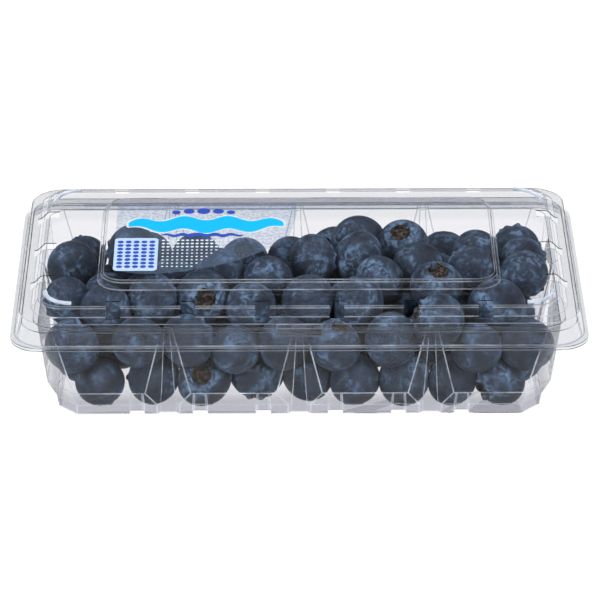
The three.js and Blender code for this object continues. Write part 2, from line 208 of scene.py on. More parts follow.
def bendHighlightMaterial(name, lowHighlightShare, highHighlightShare):  # the share of painted highlight below the lip and above it
    material, tree = newMaterial(name)
    clear = clearShader(tree, sheetLook["bendTintsAndShade"], sheetLook["bendRoughness"])
    most = mapRange(tree, heightOf(tree), sheetLook["underLip"] * mm, sheetLook["lipLow"] * mm,
                    lowHighlightShare, highHighlightShare)
    unevenHighlight = mapRange(tree, addNoise(tree, *sheetLook["bendHighlightPatch"]), *sheetLook["highlightSpread"])
    share = addNode(tree, "ShaderNodeMath", {"operation": "MULTIPLY"}, links={0: most, 1: unevenHighlight})
    # a pale colour mixed into the clear sheet: a painted highlight along the bends and ribs
    pale = addNode(tree, "ShaderNodeBsdfPrincipled",
                   inputs={"Base Color": linearColour(sheetLook["bendHighlightColour"]),
                           "Roughness": sheetLook["highlightRoughness"]})
    mix = addNode(tree, "ShaderNodeMixShader",
                  links={0: share.outputs[0], 1: clear.outputs[0], 2: pale.outputs[0]})
    letLampsThrough(tree, mix, sheetLook["lampTint"])
    return material


sheetMaterials = [clearSheetMaterial(),
                  bendHighlightMaterial("PetPaintedHighlightAtBends", sheetLook["wallBendHighlight"], sheetLook["lipBendHighlight"])]
ribHighlightMaterial = bendHighlightMaterial("PetPaintedHighlightOnRibs", sheetLook["ribBendHighlight"], sheetLook["ribBendHighlight"])
print("sheet materials ready")


# One ring of points round the pack, anticlockwise from the front left. A press is a dent in a side:
# its middle, and at each step its outer and inner widths and how far it goes in.
def ringPoints(step, cornerParts, presses):
    halfX = pack["halfX"] - step["inset"]
    halfY = pack["halfY"] - step["inset"] + step.get("more", 0)
    sides = [((1, 0), (0, -1), halfX, halfY), ((0, 1), (1, 0), halfY, halfX),
             ((-1, 0), (0, 1), halfX, halfY), ((0, -1), (-1, 0), halfY, halfX)]
    points = []
    for (along, out, reach, away), sidePresses in zip(sides, presses):
        spots = []
        for middle, kind in sidePresses:
            outer, inner, depth = step[kind]
            spots += [(middle - outer / 2, away), (middle - inner / 2, away - depth),
                      (middle + inner / 2, away - depth), (middle + outer / 2, away)]
        corner = step["corner"]
        for i in range(cornerParts + 1):
            share = i / cornerParts
            turn = share * math.pi / 2
            s = share + (math.sin(turn) - share) * step["bend"]
            d = 1 - share + (math.cos(turn) - 1 + share) * step["bend"]
            spots.append((reach - corner + corner * s, away - corner + corner * d))
        points += [Vector((along[0] * s + out[0] * d, along[1] * s + out[1] * d, step["z"]))
                   for s, d in spots]
    return points


def pressSheet(steps, cornerParts, presses):  # one edge ring, drawn on from step to step
    bm = bmesh.new()
    ring = [bm.verts.new(p) for p in ringPoints(steps[0], cornerParts, presses)]
    edges = [bm.edges.new((ring[i - 1], ring[i])) for i in range(len(ring))]
    for step in steps[1:]:
        made = bmesh.ops.extrude_edge_only(bm, edges=edges)["geom"]
        fresh = {v for v in made if isinstance(v, bmesh.types.BMVert)}
        edges = [e for e in made if isinstance(e, bmesh.types.BMEdge) and fresh.issuperset(e.verts)]
        ring = [next(e.other_vert(v) for e in v.link_edges if e.other_vert(v) in fresh) for v in ring]
        for v, point in zip(ring, ringPoints(step, cornerParts, presses)):
            v.co = point
    bmesh.ops.contextual_create(bm, geom=edges)
    bmesh.ops.recalc_face_normals(bm, faces=bm.faces)
    bm.normal_update()
    if sum(f.normal.z * f.calc_area() for f in bm.faces) < 0:
        bmesh.ops.reverse_faces(bm, faces=bm.faces)
    return bm


def roundBends(bm, leastAngle, width, bendSlot=1):
    least = math.radians(leastAngle)
    bends = [e for e in bm.edges if len(e.link_faces) == 2 and e.calc_face_angle() > least]
    made = bmesh.ops.bevel(bm, geom=bends, offset=width, offset_type="OFFSET", segments=pack["bendParts"],
                           profile=0.5, affect="EDGES", material=-1, clamp_overlap=True)
    for face in made["faces"]:
        face.material_index = bendSlot


def giveThickness(piece):
    wall = piece.modifiers.new("wall", "SOLIDIFY")
    wall.thickness = pack["sheet"] * mm
    wall.offset = -1
    wall.use_even_offset = True
    wall.material_offset_rim = 1
    applyModifiers(piece)


def addBox(bm, low, high):
    made = bmesh.ops.create_cube(bm, size=1)["verts"]
    bmesh.ops.scale(bm, vec=[h - l for l, h in zip(low, high)], verts=made)
    bmesh.ops.translate(bm, vec=[(l + h) / 2 for l, h in zip(low, high)], verts=made)


def cutWith(piece, boxes):
    bm = bmesh.new()
    for low, high in boxes:
        addBox(bm, low, high)
    toPackPlace(bm)
    cutter = newObject("cutter", bm)
    cut = piece.modifiers.new("cut", "BOOLEAN")
    cut.operation = "DIFFERENCE"
    cut.solver = "MANIFOLD"
    cut.object = cutter
    applyModifiers(piece)
    bpy.data.objects.remove(cutter)


# The tray's steps from the lip inwards: distance in from the lip's edge, height, corner size, and
# bend 1 for a round corner or 0 for one cut straight across. Then the flutes and the foot's vents.
tray = {
    "cornerParts": 8, "bendWidth": 0.24, "leastBend": 11, "ledgeTopZ": 9.8, "ledgeFootZ": 4,
    "flutesLong": (-43.6, 0, 43.6), "flutesShort": (0,), "vents": (-54, -33, -12, 12, 33, 54),
    "ventWidth": 4.9, "ventHeight": 1.5, "ventReach": 2.6,
}
flat = (3.6, 1.6, 0)
wallFlute = (3.8, 2, 0.6)
ledgeFlute = (15.2, 4.4, 3)
footFlute = (7.6, 5.4, 1.2)
noVent = (4.2, 3.4, 0)
footVent = (4.9, 3.9, 0.4)
traySteps = [
    {"inset": 0, "z": 31.7, "corner": 10, "bend": 1, "flute": flat, "vent": noVent},
    {"inset": 2.2, "z": 31.7, "corner": 10, "bend": 1, "flute": flat, "vent": noVent},
    {"inset": 3.6, "z": 36.5, "corner": 9.5, "bend": 1, "flute": flat, "vent": noVent},
    {"inset": 7.5, "z": 36.5, "corner": 6.5, "bend": 1, "flute": flat, "vent": noVent},
    {"inset": 9.1, "z": 34.6, "corner": 4.5, "bend": 0.6, "flute": wallFlute, "vent": noVent},
    {"inset": 11.4, "z": tray["ledgeTopZ"], "corner": 8.8, "bend": 0, "flute": ledgeFlute, "vent": noVent},
    {"inset": 14.4, "z": tray["ledgeFootZ"], "corner": 6.8, "bend": 0, "flute": footFlute, "vent": footVent},
    {"inset": 14.9, "z": 0.3, "corner": 6.2, "bend": 0, "flute": footFlute, "vent": footVent},
]


def ventBoxes():
    boxes = []
    foot = pack["halfY"] - traySteps[-1]["inset"]
    half = tray["ventWidth"] / 2
    for side in (-1, 1):
        near, far = sorted((side * (foot - tray["ventReach"]), side * (foot + 1)))
        boxes += [((x - half, near, -1), (x + half, far, tray["ventHeight"])) for x in tray["vents"]]
    return boxes


def makeTray():
    longSide = sorted([(x, "flute") for x in tray["flutesLong"]] + [(x, "vent") for x in tray["vents"]])
    shortSide = [(x, "flute") for x in tray["flutesShort"]]
    bm = pressSheet(traySteps, tray["cornerParts"], (longSide, shortSide, longSide, shortSide))
    roundBends(bm, tray["leastBend"], tray["bendWidth"])
    piece = finishPiece("tray_sheet", bm, sheetMaterials, "base")
    giveThickness(piece)
    cutWith(piece, ventBoxes())
    keepFlatsFlat(piece)
    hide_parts("tray")
    return piece


trayPiece = makeTray()
print("tray made,", len(trayPiece.data.polygons), "faces")


# The lid's steps from the lip inwards, and its air slots
lid = {
    "cornerParts": 10, "bendWidth": 0.24, "leastBend": 9,
    "topZ": 43.1, "panelHalfX": 66.7, "panelHalfY": 33.1,
    "slotWidth": 4.8, "slotPitch": 24.4, "longSlots": 6, "shortSlots": 3,
    "slotOuter": 5.8, "slotInner": 13.3, "slotFloorZ": 38.4,
}
panelInset = pack["halfX"] - lid["panelHalfX"]
panelMore = lid["panelHalfY"] - (pack["halfY"] - panelInset)
lidSteps = [
    {"inset": 0, "z": 32.7, "corner": 10, "bend": 1},
    {"inset": 1.3, "z": 32.7, "corner": 10.5, "bend": 1},
    {"inset": 3, "z": 39.9, "corner": 11, "bend": 1},
    {"inset": 6.8, "z": 40.5, "corner": 8.5, "bend": 1},
    {"inset": 9, "z": 42.7, "corner": 7.8, "bend": 1},
    {"inset": 9.8, "z": lid["topZ"], "corner": 7.2, "bend": 1},
    {"inset": panelInset, "z": lid["topZ"], "corner": 8, "bend": 1, "more": panelMore},
    {"inset": panelInset + 1, "z": 45.4, "corner": 7.2, "bend": 1, "more": panelMore},
    {"inset": panelInset + 1.8, "z": 46.1, "corner": 6.5, "bend": 1, "more": panelMore},
]


def slotBoxes():
    boxes = []
    half = lid["slotWidth"] / 2
    rows = ((lid["longSlots"], pack["halfY"], True), (lid["shortSlots"], pack["halfX"], False))
    for side in (-1, 1):
        for count, away, isLong in rows:
            near, far = sorted((side * (away - lid["slotOuter"]), side * (away - lid["slotInner"])))
            for i in range(count):
                middle = (i - (count - 1) / 2) * lid["slotPitch"]
                low, high = (middle - half, near), (middle + half, far)
                if not isLong:
                    low, high = low[::-1], high[::-1]
                boxes.append(((*low, lid["slotFloorZ"]), (*high, lid["topZ"] + 1)))
    return boxes


def makeLid():
    bm = pressSheet(lidSteps, lid["cornerParts"], ([], [], [], []))
    roundBends(bm, lid["leastBend"], lid["bendWidth"])
    piece = finishPiece("lid_sheet", bm, sheetMaterials, "lid")
    giveThickness(piece)
    cutWith(piece, slotBoxes())
    keepFlatsFlat(piece)
    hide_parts("lid")
    return piece


lidPiece = makeLid()
print("lid made,", len(lidPiece.data.polygons), "faces")


# The snap button's outline at the front, as distances in from the lip's edge and heights
button = {"halfWidth": 7.6, "bendWidth": 0.25, "leastBend": 20,
          "outline": ((1.85, 35.6), (2.8, 39.7), (2.2, 40.2), (0.9, 39.2), (1.1, 36.6))}


def makeButton():
    bm = bmesh.new()
    left, front = -button["halfWidth"], -pack["halfY"]
    corners = [bm.verts.new((left, inset + front, z)) for inset, z in button["outline"]]
    made = bmesh.ops.extrude_face_region(bm, geom=[bm.faces.new(corners)])["geom"]
    bmesh.ops.translate(bm, vec=(2 * button["halfWidth"], 0, 0),
                        verts=[v for v in made if isinstance(v, bmesh.types.BMVert)])
    bmesh.ops.recalc_face_normals(bm, faces=bm.faces)
    roundBends(bm, button["leastBend"], button["bendWidth"])
    return finishPiece("snap_button", bm, sheetMaterials, "lid")


# Each corner rib is a quarter ring on the lid's top
rib = {"radius": 9, "middleX": 74.7, "middleY": 34, "halfFoot": 0.9, "halfCrest": 0.45, "height": 0.8,
       "lift": 0.02, "parts": 14, "bendWidth": 0.16, "leastBend": 25, "smoothAngle": 60}


def makeRib(name, sideX, sideY):
    bm = bmesh.new()
    foot, crest = lid["topZ"] + rib["lift"], lid["topZ"] + rib["height"]
    section = [(rib["radius"] - rib["halfFoot"], foot), (rib["radius"] - rib["halfCrest"], crest),
               (rib["radius"] + rib["halfCrest"], crest), (rib["radius"] + rib["halfFoot"], foot)]
    verts = [bm.verts.new((0, out, z)) for out, z in section]
    face = bm.faces.new(verts)
    bmesh.ops.spin(bm, geom=[face] + face.edges[:] + verts, cent=(0, 0, 0), axis=(0, 0, -1),
                   angle=math.pi / 2, steps=rib["parts"])
    bmesh.ops.scale(bm, vec=(sideX, sideY, 1), verts=bm.verts)
    bmesh.ops.translate(bm, vec=(sideX * rib["middleX"], sideY * rib["middleY"], 0), verts=bm.verts)
    bmesh.ops.recalc_face_normals(bm, faces=bm.faces)
    roundBends(bm, rib["leastBend"], rib["bendWidth"], bendSlot=0)
    return finishPiece(name, bm, [ribHighlightMaterial], "lid", rib["smoothAngle"])


# The crease along the back, as a round fold between the two lips
crease = {"radius": 0.7, "sides": 20}


def makeCrease():
    bm = bmesh.new()
    length = (hingeHigh.x - hingeLow.x) / mm
    bmesh.ops.create_cone(bm, cap_ends=True, segments=crease["sides"], radius1=crease["radius"],
                          radius2=crease["radius"], depth=length)
    middle = [(a + b) / 2 / mm for a, b in zip(hingeLow, hingeHigh)]
    bmesh.ops.rotate(bm, verts=bm.verts, cent=(0, 0, 0), matrix=Matrix.Rotation(math.pi / 2, 3, "Y"))
    bmesh.ops.translate(bm, vec=(0, middle[1] - pack["middleY"] / mm, middle[2]), verts=bm.verts)
    piece = finishPiece("back_crease", bm, [ribHighlightMaterial], "base")
    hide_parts("hinge")


makeButton()
for depthName, sideY in (("front", -1), ("back", 1)):
    for widthName, sideX in (("left", -1), ("right", 1)):
        makeRib("corner_rib_" + depthName + "_" + widthName, sideX, sideY)
makeCrease()
print("latch, ribs and crease made")


# The berries come to rest by the same rule as in the part's own source, in the same order. A berry of
# the front row is x, y and z, an upper one also has its radius, and a row is its middle, y, z and count.
heap = {
    "jumboRadius": 8.6, "radiusSpread": 0.55, "contactShare": 0.96, "rounds": 260, "fall": 0.12, "gap": 1,
    "seed": 202, "drawFactor": 16807, "drawModulus": 2147483647, "rowPitch": 17.6, "rowJitter": 3,
    "looseFront": 0.15, "looseUpper": 0.05, "looseRow": 1, "floorZ": 0.5,
    "frontRow": (
        (-71, -33, 9.5), (-52, -33, 9.5), (-31.3, -34, 16), (-14.5, -33, 9.5), (2.4, -27, 10),
        (16.5, -33, 9.5), (34.7, -33, 10.5), (52.2, -33, 9.5), (69.7, -33, 9.5)),
    "upper": (
        (20, 25, 32, 9.2), (19, 6, 36, 8.3), (36, 15, 34, 8.4), (40, -1, 36, 8.4),
        (27, -11, 36, 8), (45.5, -17, 36, 8.4), (63.5, 14, 34, 8), (72, 36, 24, 8),
        (57.5, -4, 35, 8), (77, 15, 30, 8), (76, 0, 34, 8.4), (4, 1, 34, 8),
        (-76, 5, 34, 8.2), (-72.5, 20, 29, 8), (-75, -21, 34, 8)),
    "rows": (
        (0, -14.5, 9.5, 9), (0, 1.5, 9.5, 8), (0, 17, 9.5, 9), (0, 32, 9.5, 8),
        (0, -36, 24, 9), (0, -21, 23, 8), (0, -5, 23, 9), (0, 11, 22, 8),
        (0, 27, 21, 9), (0, -32, 35, 8), (-32, -14, 35, 4), (-41, 4, 35, 2)),
    "leastLength": 0.2,  # a shorter draw has no sure direction
}
wallSteps = traySteps[4:7] + [dict(traySteps[7], z=heap["floorZ"])]  # from under the bead to the floor
ledgeTop, ledgeFoot = traySteps[5:7]
drawn = heap["seed"]


def draw():  # numbers from 0 to 1, always the same ones
    global drawn
    drawn = (drawn * heap["drawFactor"]) % heap["drawModulus"]
    return drawn / heap["drawModulus"]


def drawDirection():
    while True:
        x, y, z = 2 * draw() - 1, 2 * draw() - 1, 2 * draw() - 1
        length = math.sqrt(x * x + y * y + z * z)
        if heap["leastLength"] < length < 1:
            return Vector((x / length, y / length, z / length))


def atHeight(z, value):  # something of the wall at a height, between the two steps beside it
    if z >= wallSteps[0]["z"]:
        return value(wallSteps[0])
    for high, low in zip(wallSteps, wallSteps[1:]):
        if z >= low["z"]:
            return value(low) + (value(high) - value(low)) * (z - low["z"]) / (high["z"] - low["z"])
    return value(wallSteps[-1])


def insetOf(step):
    return step["inset"]


def ledgeRoom(berry, run):  # how far in from the ledge's upper edge a berry stays
    fall = tray["ledgeTopZ"] - tray["ledgeFootZ"]
    clear = berry["r"] + heap["gap"]
    return (clear * math.hypot(run, fall) - (berry["z"] - tray["ledgeTopZ"]) * run) / fall


def farthest(half, across, berry, flutes):  # how far from the pack's middle line its middle may be
    wall = half - atHeight(berry["z"], insetOf) - heap["gap"]
    ledge = half - ledgeTop["inset"] - ledgeRoom(berry, ledgeFoot["inset"] - ledgeTop["inset"])
    most = min(wall - berry["r"], ledge)
    for middle in flutes:
        beside = max(abs(across - middle) - atHeight(berry["z"], lambda s: s["flute"][1]) / 2, 0)
        if beside < berry["r"]:
            floor = wall - atHeight(berry["z"], lambda s: s["flute"][2])
            most = min(most, floor - math.sqrt(berry["r"] ** 2 - beside ** 2))
    return most


def cornerReach(inset, corner):  # from the pack's middle to the flat of a cut corner
    return (pack["halfX"] + pack["halfY"] - 2 * inset - corner) * math.sqrt(0.5)


def keepInside(berry):
    mostY = farthest(pack["halfY"], berry["x"], berry, tray["flutesLong"])
    berry["y"] = min(max(berry["y"], -mostY), mostY)
    mostX = farthest(pack["halfX"], berry["y"], berry, tray["flutesShort"])
    berry["x"] = min(max(berry["x"], -mostX), mostX)
    clear = berry["r"] + heap["gap"]
    wall = cornerReach(atHeight(berry["z"], insetOf), atHeight(berry["z"], lambda s: s["corner"])) - clear
    ledge = cornerReach(ledgeTop["inset"], ledgeTop["corner"])
    run = ledge - cornerReach(ledgeFoot["inset"], ledgeFoot["corner"])
    over = (abs(berry["x"]) + abs(berry["y"])) * math.sqrt(0.5) - min(wall, ledge - ledgeRoom(berry, run))
    if over > 0:
        berry["x"] -= math.copysign(over * math.sqrt(0.5), berry["x"])
        berry["y"] -= math.copysign(over * math.sqrt(0.5), berry["y"])
    beside = max(abs(berry["x"]) - lid["panelHalfX"], abs(berry["y"]) - lid["panelHalfY"]) + berry["r"]
    ceiling = (lidSteps[-1]["z"] if beside < 0 else lid["topZ"]) - heap["floorZ"]
    berry["z"] = min(berry["z"], ceiling - clear)
    berry["z"] = max(berry["z"], heap["floorZ"] + clear)


def settle(berries):  # they sink and push each other apart
    for _ in range(heap["rounds"]):
        for berry in berries:
            berry["z"] -= heap["fall"] * berry["loose"]
        for i, a in enumerate(berries):
            for b in berries[i + 1:]:
                dx, dy, dz = b["x"] - a["x"], b["y"] - a["y"], b["z"] - a["z"]
                reach = (a["r"] + b["r"]) * heap["contactShare"]
                square = dx * dx + dy * dy + dz * dz
                if square < reach * reach:
                    length = math.sqrt(square)
                    push = (reach - length) / length / (a["loose"] + b["loose"])
                    for key, step in (("x", dx), ("y", dy), ("z", dz)):
                        a[key] -= step * push * a["loose"]
                        b[key] += step * push * b["loose"]
        for berry in berries:
            keepInside(berry)


def placeBerries():
    berries = []

    def add(x, y, z, r, loose):
        berries.append({"x": x, "y": y, "z": z, "r": r, "loose": loose})

    def radius():
        return heap["jumboRadius"] + heap["radiusSpread"] * (2 * draw() - 1)

    def shift():
        return heap["rowJitter"] * (draw() - 0.5)

    for x, y, z in heap["frontRow"]:
        add(x, y, z, radius(), heap["looseFront"])
    for x, y, z, r in heap["upper"]:
        add(x, y, z, r, heap["looseUpper"])
    for middle, y, z, count in heap["rows"]:
        for i in range(count):
            x = middle + (i - (count - 1) / 2) * heap["rowPitch"]
            add(x + shift(), y + shift(), z + shift(), radius(), heap["looseRow"])
    settle(berries)
    return berries


# One berry as shares of its radius: a ball a little flattened from stalk to crown, drawn as an outline
# by angles and spun. The crown is a ragged five-lobed rim round a sunken scar.
fruit = {
    "sides": 30, "flat": 0.92, "lowAngle": -90, "highAngle": 58, "angleStep": 11, "stalkDent": 0.03,
    "rim": ((0.50, 0.795), (0.445, 0.825), (0.41, 0.87), (0.385, 0.885), (0.36, 0.84), (0.33, 0.74),
            (0.26, 0.66), (0.17, 0.645), (0.09, 0.68), (0, 0.70)),
    "merge": 0.0005, "smoothAngle": 80, "shapes": 8, "lean": 0.04,
    "lobes": 5, "lobeSize": 0.17, "lobeRise": 0.03, "lobePhase": 6, "fewerLobes": 3, "fewerSize": 0.4,
    "crownLow": 0.64, "crownInner": 0.2, "crownOuter": 0.5, "crownMiddle": 0.37, "crownReach": 0.2,
    "scarLow": 0.6, "scarHalf": 0.375, "haloMiddle": 0.48, "haloReach": 0.3,
}
# how the berries lie: grow, spread and sink close the gaps that the solid heap keeps
layout = {
    "grow": 1.05, "spread": (1.006, 1.012, 1), "sink": 0.5, "seed": 7, "skinOffset": 50,
    "towardsCamera": Vector((0, -0.89, 0.45)), "facing": 0.2, "turnedAway": 0.65,
}
# which way the crowns of a few berries point, by their number in the heap
chosenCrowns = {2: (-0.1, -0.8, 0.6), 3: (0.1, -0.75, -0.7), 11: (-0.12, -0.5, 0.9), 14: (0.05, -0.35, 0.93)}


def berryShape(number):
    rule = random.Random(number)
    bm = bmesh.new()
    angles = [math.radians(a) for a in range(fruit["lowAngle"], fruit["highAngle"], fruit["angleStep"])]
    outline = [(math.cos(a), fruit["flat"] * math.sin(a)) for a in angles]
    outline[0] = (0, fruit["stalkDent"] - fruit["flat"])
    verts = [bm.verts.new((out, 0, z)) for out, z in outline + list(fruit["rim"])]
    edges = [bm.edges.new(pair) for pair in zip(verts, verts[1:])]
    bmesh.ops.spin(bm, geom=verts + edges, cent=(0, 0, 0), axis=(0, 0, 1), angle=math.tau,
                   steps=fruit["sides"], use_merge=True)
    bmesh.ops.remove_doubles(bm, verts=bm.verts, dist=fruit["merge"])
    bmesh.ops.recalc_face_normals(bm, faces=bm.faces)
    phase = rule.uniform(0, fruit["lobePhase"])
    lean = [rule.uniform(-fruit["lean"], fruit["lean"]) for _ in range(3)]
    for v in bm.verts:
        turn, out = math.atan2(v.co.y, v.co.x), math.hypot(v.co.x, v.co.y)
        if v.co.z > fruit["crownLow"] and fruit["crownInner"] < out < fruit["crownOuter"]:
            lobe = math.cos(fruit["lobes"] * turn + phase)
            lobe += fruit["fewerSize"] * math.cos(fruit["fewerLobes"] * turn + 2 * phase)
            nearRim = 1 - abs(out - fruit["crownMiddle"]) / fruit["crownReach"]
            v.co.x *= 1 + fruit["lobeSize"] * lobe * nearRim
            v.co.y *= 1 + fruit["lobeSize"] * lobe * nearRim
            v.co.z += fruit["lobeRise"] * lobe * max(0, nearRim)
        v.co.x *= 1 + lean[0] + lean[1] * v.co.z
        v.co.y *= 1 - lean[0] + lean[2] * v.co.x
    mesh = bpy.data.meshes.new("berry_shape")
    bm.to_mesh(mesh)
    bm.free()
    return mesh


def makeBerries():
    shapes = [berryShape(k) for k in range(fruit["shapes"])]
    bm = bmesh.new()
    skinPlace = bm.verts.layers.float_vector.new("skinPlace")
    scar = bm.verts.layers.float.new("scar")
    halo = bm.verts.layers.float.new("halo")
    bloom = bm.verts.layers.float.new("bloom")
    rule = random.Random(layout["seed"])
    far = layout["skinOffset"]
    for number, one in enumerate(placeBerries()):
        way = drawDirection()
        facing = way.dot(layout["towardsCamera"])
        if number in chosenCrowns:
            way = Vector(chosenCrowns[number]).normalized()
        elif facing > layout["facing"] and rule.random() < layout["turnedAway"]:
            way = -way
        start = len(bm.verts)
        bm.from_mesh(shapes[number % len(shapes)])
        bm.verts.ensure_lookup_table()
        fresh = bm.verts[start:]
        offset = Vector([rule.uniform(-far, far) for _ in range(3)])
        ownBloom = rule.random()
        for v in fresh:
            out = math.hypot(v.co.x, v.co.y)
            onTop = v.co.z > fruit["scarLow"]
            nearHalo = max(0.0, 1 - abs(out - fruit["haloMiddle"]) / fruit["haloReach"])
            v[skinPlace] = v.co + offset
            v[scar] = 1.0 if onTop and out < fruit["scarHalf"] else 0.0
            v[halo] = nearHalo if onTop else 0.0
            v[bloom] = ownBloom
        turn = Vector((0, 0, 1)).rotation_difference(way).to_matrix().to_4x4()
        spin = Matrix.Rotation(rule.uniform(0, math.tau), 4, "Z")
        middle = (one["x"], one["y"], one["z"] - layout["sink"])
        place = Vector([c * s for c, s in zip(middle, layout["spread"])])
        size = Matrix.Scale(one["r"] * layout["grow"], 4)
        bmesh.ops.transform(bm, matrix=Matrix.Translation(place) @ turn @ spin @ size, verts=fresh)
    for shape in shapes:
        bpy.data.meshes.remove(shape)
    piece = finishPiece("blueberry_heap", bm, [berrySkin], "base", fruit["smoothAngle"])
    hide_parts("blueberries")
    return piece


# Ripe skin: nearly black, with a waxy blue-grey bloom that has rubbed off in patches and smudges,
# thickest round the crown, and a dry brown scar inside it. A pattern is its size in millimetres, its
# detail, roughness and distortion. Its cover is the range of it that runs from none to all, and for the
# smudges also the least that they leave. ownCover, ringCover and roughness are a least and a most.
skinLook = {
    "dark": "#15181F", "dusk": "#29323E", "bloom": "#54687F", "dry": "#4E453D", "pit": "#0F0D0C",
    "patch": (7.5, 3, 0.5, 0.6), "smudge": (2.4, 3, 0.55, 1.4), "fleck": (0.9, 2, 0.5, 0.0),
    "patchCover": (0.28, 0.68), "smudgeCover": (0.34, 0.62, 0.15), "fleckCover": (0.47, 0.72),
    "ownCover": (-0.12, 0.12), "ringCover": (0, 0.5), "scarEdge": (0.35, 0.65), "duskAt": 0.4,
    "roughness": (0.5, 0.8), "ior": 1.4, "specular": 0.4,
}


def berrySkinMaterial():
    material, tree = newMaterial("BlueberrySkinWithBloom")
    place = addNode(tree, "ShaderNodeAttribute", {"attribute_name": "skinPlace"})
    scar = addNode(tree, "ShaderNodeAttribute", {"attribute_name": "scar"})
    halo = addNode(tree, "ShaderNodeAttribute", {"attribute_name": "halo"})
    bloom = addNode(tree, "ShaderNodeAttribute", {"attribute_name": "bloom"})

    def pattern(size, detail, roughness, distortion):
        return addNode(tree, "ShaderNodeTexNoise",
                       inputs={"Scale": heap["jumboRadius"] / size, "Detail": detail,
                               "Roughness": roughness, "Distortion": distortion},
                       links={"Vector": place.outputs["Vector"]}).outputs["Fac"]

    def combine(operation, first, second, clamp=True):
        return addNode(tree, "ShaderNodeMath", {"operation": operation, "use_clamp": clamp},
                       links={0: first, 1: second}).outputs[0]

    own = mapRange(tree, bloom.outputs["Fac"], 0, 1, *skinLook["ownCover"])
    patches = mapRange(tree, pattern(*skinLook["patch"]), *skinLook["patchCover"])
    ring = mapRange(tree, halo.outputs["Fac"], 0, 1, *skinLook["ringCover"])
    smudges = mapRange(tree, pattern(*skinLook["smudge"]), *skinLook["smudgeCover"])
    flecks = mapRange(tree, pattern(*skinLook["fleck"]), *skinLook["fleckCover"])
    inScar = mapRange(tree, scar.outputs["Fac"], *skinLook["scarEdge"])
    cover = combine("ADD", combine("ADD", patches, own, clamp=False), ring)
    dusty = combine("MULTIPLY", cover, smudges)
    skin = addNode(tree, "ShaderNodeValToRGB", links={"Fac": dusty})
    fillRamp(skin, [(0, skinLook["dark"]), (skinLook["duskAt"], skinLook["dusk"]), (1, skinLook["bloom"])])
    dry = addNode(tree, "ShaderNodeMix", {"data_type": "RGBA"},
                  {6: linearColour(skinLook["pit"]), 7: linearColour(skinLook["dry"])}, {0: flecks})
    colour = addNode(tree, "ShaderNodeMix", {"data_type": "RGBA"},
                     links={0: inScar, 6: skin.outputs[0], 7: dry.outputs[2]})
    rough = mapRange(tree, dusty, 0, 1, *skinLook["roughness"])
    shader = addNode(tree, "ShaderNodeBsdfPrincipled",
                     inputs={"IOR": skinLook["ior"], "Specular IOR Level": skinLook["specular"]},
                     links={"Base Color": colour.outputs[2], "Roughness": rough})
    addNode(tree, "ShaderNodeOutputMaterial", links={"Surface": shader.outputs[0]})
    return material


berrySkin = berrySkinMaterial()
heapPiece = makeBerries()
print("berries made,", len(heapPiece.data.polygons), "faces")


# The label is a clear film, printed with plain shapes. Each curve of its edge is two pulls and its end.
label = {
    "left": labelLow.x / mm, "right": labelHigh.x / mm, "back": (labelHigh.y - pack["middleY"]) / mm,
    "filmZ": labelLow.z / mm, "film": 0.1, "ink": 0.03, "lift": 0.02, "sideEnd": -20.5,
    "corner": ((-61.7, -25.2), (-57.5, -27.7), (-49, -27.8)), "cornerParts": 8,
    "sweep": ((-30, -26), (-15, -17), (-4, -1.5)), "sweepParts": 14,
    "bulge": ((-2.3, 3.5), (-1, 11), (-0.2, 21)), "bulgeParts": 6,
}


# Flexo ink on film: flat and even, a little glossy
inkLook = {"white": "#898F95", "sky": "#04749A", "royal": "#1B2F71", "pale": "#75869A",
           "roughness": 0.35, "ior": 1.45}


def inkMaterial(name, shade):
    material, tree = newMaterial(name)
    ink = addNode(tree, "ShaderNodeBsdfPrincipled",
                  inputs={"Base Color": linearColour(inkLook[shade]), "Roughness": inkLook["roughness"],
                          "IOR": inkLook["ior"]})
    addNode(tree, "ShaderNodeOutputMaterial", links={"Surface": ink.outputs[0]})
    return material


# Polypropylene film: clear, with the fine grey mottle of the glue behind it
filmLook = {
    "mottle": (1.1, 3, 0.7), "mottleCover": (0.35, 0.65), "grey": "#E2E5EA", "clear": "#F8F9FB",
    "sheen": "#8FA3C0", "gloss": 0.04, "roughness": 0.25, "ior": 1.45,
}


def filmMaterial():
    material, tree = newMaterial("ClearLabelFilm")
    level = mapRange(tree, addNoise(tree, *filmLook["mottle"]), *filmLook["mottleCover"])
    tint = addNode(tree, "ShaderNodeMix", {"data_type": "RGBA"},
                   {6: linearColour(filmLook["grey"]), 7: linearColour(filmLook["clear"])}, {0: level})
    through = addNode(tree, "ShaderNodeBsdfTransparent", links={"Color": tint.outputs[2]})
    gloss = addNode(tree, "ShaderNodeBsdfPrincipled",
                    inputs={"Base Color": linearColour(filmLook["sheen"]), "Roughness": filmLook["roughness"],
                            "IOR": filmLook["ior"]})
    mix = addNode(tree, "ShaderNodeMixShader", inputs={0: filmLook["gloss"]},
                  links={1: through.outputs[0], 2: gloss.outputs[0]})
    addNode(tree, "ShaderNodeOutputMaterial", links={"Surface": mix.outputs[0]})
    return material


def curvePoints(start, pulls, parts):  # a smooth curve on from the start, without the start itself
    made = []
    for i in range(1, parts + 1):
        t = i / parts
        u = 1 - t
        made.append(tuple(u ** 3 * p + 3 * u * u * t * q + 3 * u * t * t * r + t ** 3 * e
                          for p, q, r, e in zip(start, *pulls)))
    return made


def flatPiece(name, outlines, z, thickness, material):
    bm = bmesh.new()
    for outline in outlines:
        face = bm.faces.new([bm.verts.new((x, y, z)) for x, y in outline])
        made = bmesh.ops.extrude_face_region(bm, geom=[face])["geom"]
        upper = [v for v in made if isinstance(v, bmesh.types.BMVert)]
        bmesh.ops.translate(bm, vec=(0, 0, thickness), verts=upper)
    bmesh.ops.recalc_face_normals(bm, faces=bm.faces)
    return finishPiece(name, bm, [material], "lid")


